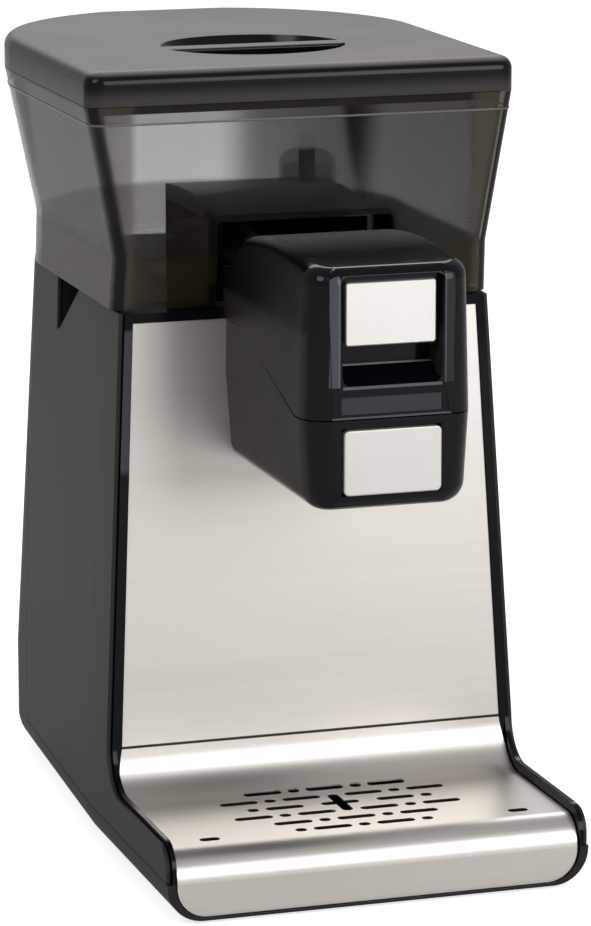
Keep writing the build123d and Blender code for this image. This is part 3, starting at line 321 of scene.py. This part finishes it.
def bezel_plastic(name, tint, facet_tint, ledge_tint):
    bezel = Finish(name)
    wave = bezel.noise(38.0, 1.0)
    smear = bezel.noise(24.0, 3.0, 0.6)
    bars = bezel.within(w=(0.0238, 0.0285), y=BEZEL_FRONT, z=BAR_HEIGHTS)
    bar_edges = bezel.within(w=(0.0238, 0.0244), y=BEZEL_FRONT, z=BAR_HEIGHTS)
    top_lip = bezel.within(x=WINDOW, y=BEZEL_FRONT, z=(0.2864, 0.2890))
    sill = bezel.within(x=WINDOW, y=BEZEL_FRONT, z=(0.2374, 0.2387))
    seam_highlight = bezel.within(x=(-0.0270, 0.0270), y=BEZEL_FRONT, z=(0.0, 0.2252))
    panel = bezel.within(x=(-0.0228, 0.0228), y=(-0.2000, -0.1790), z=(0.2263, 0.2338))
    ledge = bezel.within(y=(-0.1664, -0.1632), z=(0.2440, 0.2462))
    # painted highlights and reflections: bars, their inner edges, top lip, sill, seam and lip panel
    lit = bars * (0.55 - bezel.x.ramp(-0.030, 0.030) * 0.40) + bar_edges * 0.5
    lit = lit + top_lip * 0.40 + sill * 0.8 + seam_highlight * 0.7 + panel * 0.30
    colour = bezel.blend(lit.at_most(1.0), tint, facet_tint)
    colour = bezel.blend(ledge, colour, ledge_tint)
    colour, satin = head_shades(bezel, colour)
    return bezel.surface({
        "Base Color": colour, "Roughness": 0.11 + smear.ramp(0.45, 0.75) * 0.06 + satin,
        "Specular IOR Level": 0.20, "Normal": bezel.bump(wave, 0.0005, 0.22)})


bezel_black = bezel_plastic("bezel_black", DEEP_BLACK, (0.110, 0.125, 0.150), (0.34, 0.37, 0.42))
print("nodes in the bezel's black:", len(bezel_black.node_tree.nodes))

# %% [markdown]
# ## Satin plastics
# The side panels and the works inside are moulded with a fine spark texture. A noise of less
# than half a millimetre gives its grain, and slow noise keeps large faces from looking flat.


# %% Satin moulded plastic
def satin_plastic(name, tint, rough, grain=0.00006):
    satin = Finish(name)
    cells = satin.noise(2600.0, 2.0, 0.6)
    slow = satin.noise(14.0, 3.0, 0.5)
    colour = satin.blend(slow.ramp(0.3, 0.75), scaled(tint, 0.88), scaled(tint, 1.12))
    return satin.surface({
        "Base Color": colour, "Roughness": rough + cells * 0.10 + slow * 0.06 - 0.08,
        "Specular IOR Level": 0.25, "Normal": satin.bump(cells, grain, 0.6)})


side_charcoal = satin_plastic("side_charcoal", (0.021, 0.019, 0.016), 0.46)
moulded_black = satin_plastic("moulded_black", (0.012, 0.012, 0.012), 0.45)
nylon = satin_plastic("nylon", (0.50, 0.49, 0.46), 0.5)
rubber_black = satin_plastic("rubber_black", (0.018, 0.018, 0.018), 0.75, 0.0001)
board_green = satin_plastic("board_green", (0.02, 0.11, 0.04), 0.4)
print("nodes in the side panels' charcoal:", len(side_charcoal.node_tree.nodes))

# %% [markdown]
# ## The lid's two faces
# The lid is one moulding, but its top is spark eroded and looks grey under the lamps, while its
# upright wall is polished and black. The surface normal tells the two apart. The wall's lower
# part is a little lighter, as it mirrors the bright floor.


# %% Lid plastic
def lid_plastic(name, top_tint, wall_tint, low_wall_tint):
    lid = Finish(name)
    up = lid.facing("Z").ramp(0.55, 0.95)
    cells = lid.noise(2600.0, 2.0, 0.6)
    slow = lid.noise(14.0, 3.0, 0.5)
    grained = lid.blend(slow.ramp(0.3, 0.75), scaled(top_tint, 0.92), scaled(top_tint, 1.08))
    wall = lid.blend(1.0 - lid.z.ramp(0.3480, 0.3550), wall_tint, low_wall_tint)
    return lid.surface({
        "Base Color": lid.blend(up, wall, grained), "Roughness": 0.14 + up * 0.26 + cells * 0.05,
        "Specular IOR Level": 0.22, "Normal": lid.bump(cells, 0.00004, 0.5)})


LID_TINTS = ((0.190, 0.178, 0.160), (0.0025, 0.0025, 0.0028), (0.040, 0.038, 0.035))
lid_grey = lid_plastic("lid_grey", *LID_TINTS)
print("nodes in the lid's grey:", len(lid_grey.node_tree.nodes))

# %% [markdown]
# ## Smoke plastics
# The float, its dome and the seals are see-through plastics without areas of their own. Their
# alpha lets most of what is behind them show, and rises and falls a little with a slow noise.


# %% Smoke plastic
def smoke_plastic(name, tint, cover):
    smoke = Finish(name)
    slow = smoke.noise(11.0, 3.0, 0.55)
    specks = smoke.noise(700.0, 2.0, 0.6)
    return smoke.surface({
        "Base Color": smoke.blend(slow.ramp(0.3, 0.7), tint, scaled(tint, 1.2)),
        "Roughness": 0.10 + specks.ramp(0.6, 0.8) * 0.06,
        "Alpha": cover + slow * 0.04, "Specular IOR Level": 0.4,
        "Normal": smoke.bump(slow, 0.0006, 0.3)})


dome_smoke = smoke_plastic("dome_smoke", (0.20, 0.21, 0.26), 0.30)
float_smoke = smoke_plastic("float_smoke", (0.30, 0.31, 0.36), 0.10)
bead_smoke = smoke_plastic("bead_smoke", (0.10, 0.095, 0.085), 0.80)
silicone = smoke_plastic("silicone", (0.55, 0.54, 0.51), 0.75)
print("nodes in the dome's smoke:", len(dome_smoke.node_tree.nodes))

# %% [markdown]
# ## The tank
# The tank is tinted clear plastic. A look through it crosses four surfaces, so each one hides
# only a part of what lies behind. The side walls are seen at a slant and hide more, and so does
# the band under the crease, where the wall is doubled. The front corners carry a painted dark
# reflection and hide more, and the right part is made denser as painted shade for the dark room
# it mirrors. The hood over the brew head is thick and nearly black, with painted grey light on
# its top towards the back. All of these are picked out by their place.

# %% Tank plastic
TANK_TINT = (0.024, 0.020, 0.015)
CREASE_BAND_TINT = (0.030, 0.023, 0.012)
SIDE_TINT = (0.062, 0.053, 0.037)
CORNER_REFLECTION_TINT = (0.004, 0.004, 0.004)
HOOD_TINT = (0.003, 0.003, 0.0028)
LIT_HOOD_TINT = (0.190, 0.185, 0.175)


def tank_plastic(name):
    tank = Finish(name)
    slow = tank.noise(11.0, 3.0, 0.55)
    specks = tank.noise(700.0, 2.0, 0.6)
    hood = tank.within(x=(-0.0455, 0.0455), y=(-0.0575, 0.0500), z=(0.0, 0.2985))
    lit_hood = (tank.z > 0.2885) * tank.y.ramp(-0.0450, 0.0100)
    side = abs(tank.x).ramp(0.0780, 0.0830)
    below = 1.0 - tank.z.ramp(0.2755, 0.2790)
    rim = tank.z > 0.3380
    slant = abs(tank.facing("X"))
    # painted reflection: a dark line along the tank's front corners
    corner_reflection = slant.ramp(0.25, 0.50) * (1.0 - slant.ramp(0.85, 0.97))
    corner_reflection = corner_reflection * (tank.facing("Y") < -0.2) * (1.0 - hood)
    colour = tank.blend(below, TANK_TINT, CREASE_BAND_TINT)
    colour = tank.blend(side, colour, SIDE_TINT)
    colour = tank.blend(corner_reflection, colour, CORNER_REFLECTION_TINT)
    colour = tank.blend(hood, colour, tank.blend(lit_hood, HOOD_TINT, LIT_HOOD_TINT))
    cover = 0.235 + slow * 0.05 + side * 0.27 + below * 0.24 + rim * 0.12
    # painted shade: the right part is made denser, as the dark room it mirrors
    cover = cover + tank.x.ramp(0.030, 0.095) * 0.14 + corner_reflection * 0.34
    return tank.surface({
        "Base Color": colour, "Roughness": 0.09 + specks.ramp(0.6, 0.8) * 0.06,
        "Alpha": cover.at_least(hood * 0.985), "Specular IOR Level": 0.18,
        "Normal": tank.bump(slow, 0.0003, 0.2)})


smoke_clear = tank_plastic("smoke_clear")
print("nodes in the tank's smoke:", len(smoke_clear.node_tree.nodes))

# %% [markdown]
# ## Dressing the CAD nodes
# A node whose shape is right keeps its mesh and takes a finish. The record's material slots say
# what each node is made of, so one table from slot to finish dresses them all. Three nodes look
# different from the rest of their slot, and get a finish of their own afterwards.

# %% Dress every node
FINISHES = {
    "stainless": sheet_steel, "steel": works_steel, "zinc": zinc_sheet, "smoke": smoke_clear,
    "lid_grey": lid_grey, "side_grey": side_charcoal, "gloss_black": gloss_black,
    "black": moulded_black, "silver": plate_silver, "rubber": rubber_black,
    "silicone": silicone, "white_plastic": nylon, "board": board_green, "brass": brass,
}
OWN_FINISHES = {
    "level_float_cap": dome_smoke, "level_float": float_smoke, "brew_button": button_silver,
}


def dress(piece, finish):
    piece.data.materials.clear()
    piece.data.materials.append(finish)


for part in frame["record"]["subparts"]:
    dress(NODES[part["node"]], FINISHES[part["material_slot"]])
for node, finish in OWN_FINISHES.items():
    dress(NODES[node], finish)
print("finishes:", len(FINISHES) + len(OWN_FINISHES))

# %% [markdown]
# ## Modelling by hand, in code
# A new piece starts as a copy of a CAD mesh, whose doubled points are merged. Its faces are
# picked by where they lie and which way they face, and shaped with the edit operators. A
# modifier is applied at once, so that every finished piece is plain mesh at the origin.

# %% Tools for modelling
MM = 0.001
MERGE_DISTANCE = 0.01 * MM


def select_only(piece):
    bpy.ops.object.select_all(action="DESELECT")
    piece.select_set(True)
    bpy.context.view_layer.objects.active = piece


def copy_of(node):
    """A copy of a CAD node with its doubled points merged, left in edit mode, all selected."""
    original = NODES[node]
    copy = original.copy()
    copy.data = original.data.copy()
    bpy.context.scene.collection.objects.link(copy)
    select_only(copy)
    bpy.ops.object.mode_set(mode="EDIT")
    bpy.ops.mesh.select_all(action="SELECT")
    bpy.ops.mesh.remove_doubles(threshold=MERGE_DISTANCE)
    return copy


def pick_faces(piece, test):
    """Leave edit mode open with just the faces selected whose centre and normal pass."""
    select_only(piece)
    bpy.ops.object.mode_set(mode="EDIT")
    bpy.ops.mesh.select_mode(type="FACE")
    bpy.ops.mesh.select_all(action="DESELECT")
    bpy.ops.object.mode_set(mode="OBJECT")
    for face in piece.data.polygons:
        face.select = bool(test(face.center / MM, face.normal))
    bpy.ops.object.mode_set(mode="EDIT")


def apply_modifier(piece, kind, **settings):
    modifier = piece.modifiers.new(kind.lower(), kind)
    for name, value in settings.items():
        setattr(modifier, name, value)
    select_only(piece)
    bpy.ops.object.modifier_apply(modifier=modifier.name)


def round_off(piece, width, angle=30.0):
    """Bevel every edge that is sharper than the angle, by a width in millimetres."""
    apply_modifier(piece, "BEVEL", width=width * MM, segments=2, limit_method="ANGLE",
                   angle_limit=math.radians(angle))


def body_of(node):
    members = frame["record"]["behaviour"]["bodies"]
    return next(name for name, nodes in members.items() if node in nodes)


def hand_over(piece, name, finish, body):
    """Name, dress and smooth a finished piece, and let it ride on its body."""
    piece.name = name
    dress(piece, finish)
    select_only(piece)
    bpy.ops.object.shade_smooth_by_angle(angle=math.radians(35.0))
    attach(piece, body)


print("the lid rides on:", body_of("tank_lid"))

# %% [markdown]
# ## Soft edges on the moulded parts
# CAD edges are perfectly sharp, and a sharp edge catches no light. Moulded plastic always has
# a small radius. The flat areas of a copy are joined into single faces, and a narrow bevel
# rounds what is left, so that each edge draws a fine highlight. The bevel bends the shading of
# the wide faces beside it, and weighted normals make those flat again.


# %% Rounded copies of moulded nodes
def softened(node, width, finish):
    copy = copy_of(node)
    bpy.ops.mesh.dissolve_limited(angle_limit=math.radians(0.5))
    bpy.ops.object.mode_set(mode="OBJECT")
    round_off(copy, width)
    hand_over(copy, node + "_moulded", finish, body_of(node))
    apply_modifier(copy, "WEIGHTED_NORMAL", weight=90, keep_sharp=True)
    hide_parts(node)
    print(node, len(copy.data.polygons), "faces")


softened("head_bezel", 0.35, bezel_black)
softened("head_cover", 0.4, head_black)
softened("head_housing", 0.5, head_black)
softened("front_frame", 0.5, frame_black)
softened("tank_lid", 0.5, lid_grey)
softened("left_side_panel", 0.5, side_charcoal)
softened("right_side_panel", 0.5, side_charcoal)

# %% [markdown]
# ## The bead round the tank
# A fine bead runs round the tank a little under the lid. It is a thin band cut out of a copy of
# the tank with two level cuts. Its inward faces are removed, and the outward ones are pushed out
# by a third of a millimetre.

# %% Bead
BEAD_LOW, BEAD_HIGH, BEAD_DEPTH = 337.6, 338.6, 0.35
TANK_MIDDLE = Vector((0.0, 60.0, 0.0))
UP = (0.0, 0.0, 1.0)


def is_inward_or_cut(centre, normal):
    outward = (centre - TANK_MIDDLE).to_2d().dot(normal.to_2d())
    return outward < 1.0 or abs(normal.z) > 0.9


bead = copy_of("water_tank")
bpy.ops.mesh.bisect(plane_co=(0.0, 0.0, BEAD_LOW * MM), plane_no=UP, clear_inner=True)
bpy.ops.mesh.select_all(action="SELECT")
bpy.ops.mesh.bisect(plane_co=(0.0, 0.0, BEAD_HIGH * MM), plane_no=UP, clear_outer=True)
bpy.ops.object.mode_set(mode="OBJECT")
pick_faces(bead, is_inward_or_cut)
bpy.ops.mesh.delete(type="FACE")
bpy.ops.mesh.select_all(action="SELECT")
push = {"value": BEAD_DEPTH * MM}
bpy.ops.mesh.extrude_region_shrink_fatten(TRANSFORM_OT_shrink_fatten=push)
bpy.ops.object.mode_set(mode="OBJECT")
round_off(bead, 0.12, 50.0)
hand_over(bead, "tank_bead", bead_smoke, "body")
print("bead faces:", len(bead.data.polygons))

# %% [markdown]
# ## Studio
# The brewer stands on a white floor. The floor and the world are bright for the camera only,
# and dimmer for every other ray, so that black plastic stays black.

# %% Floor
FLOOR_GLOW = 0.72

floor_finish = Finish("floor")
grain = floor_finish.noise(60.0, 3.0)
paper = floor_finish.blend(grain, (0.78, 0.77, 0.76), (0.82, 0.81, 0.80))
plain = floor_finish.node("ShaderNodeBsdfDiffuse", {}, {"Color": paper})
glow = floor_finish.node("ShaderNodeEmission", {}, {"Color": (1.0, 1.0, 1.0), "Strength": FLOOR_GLOW})
bright = floor_finish.node("ShaderNodeAddShader", {}, {0: plain, 1: glow})
seen = floor_finish.node("ShaderNodeLightPath", output="Is Camera Ray")
shown = floor_finish.node("ShaderNodeMixShader", {}, {0: seen, 1: plain, 2: bright})
floor_finish.node("ShaderNodeOutputMaterial", {}, {"Surface": shown})
bpy.ops.object.select_all(action="DESELECT")
bpy.ops.mesh.primitive_plane_add(size=12.0, location=(0.0, 0.0, 0.0))
floor = bpy.context.object
floor.name = "floor"
dress(floor, floor_finish.material)
print("floor:", tuple(floor.dimensions))

# %% [markdown]
# ## World
# The world is the soft light from all sides. It has two backgrounds, a dim warm one that lights
# the brewer and a white one that the camera sees.

# %% World
world = bpy.data.worlds.new("studio")
bpy.context.scene.world = world
world.use_nodes = True
sky = world.node_tree
sky.nodes.clear()


def background(colour, strength):
    made = sky.nodes.new("ShaderNodeBackground")
    made.inputs["Color"].default_value = (*colour, 1.0)
    made.inputs["Strength"].default_value = strength
    return made.outputs[0]


rays = sky.nodes.new("ShaderNodeLightPath")
pick = sky.nodes.new("ShaderNodeMixShader")
sky_output = sky.nodes.new("ShaderNodeOutputWorld")
sky.links.new(rays.outputs["Is Camera Ray"], pick.inputs[0])
sky.links.new(background((1.0, 0.99, 0.97), 0.42), pick.inputs[1])
sky.links.new(background((1.0, 1.0, 1.0), 1.0), pick.inputs[2])
sky.links.new(pick.outputs[0], sky_output.inputs["Surface"])
print("world nodes:", len(sky.nodes))

# %% [markdown]
# ## Lamps
# Three wide lamps stand where the steel mirrors them: in front on the right, high on the left,
# and behind the brewer. A wide lamp gives the soft, long highlights along the tray's folds.


# %% Lamps
def lamp(name, place, aim, size, power):
    data = bpy.data.lights.new(name, "AREA")
    data.shape = "RECTANGLE"
    data.size, data.size_y = size
    data.energy = power
    made = bpy.data.objects.new(name, data)
    made.location = place
    made.rotation_euler = (Vector(aim) - Vector(place)).to_track_quat("-Z", "Y").to_euler()
    bpy.context.scene.collection.objects.link(made)


lamp("front_right", (1.10, -2.10, 0.95), (0.0, -0.05, 0.15), (1.5, 1.3), 26.0)
lamp("high_left", (-1.70, -1.20, 1.70), (0.0, 0.0, 0.20), (1.0, 1.0), 14.0)
lamp("behind", (0.30, 1.90, 1.80), (0.0, 0.0, 0.25), (1.8, 0.9), 16.0)

# %% [markdown]
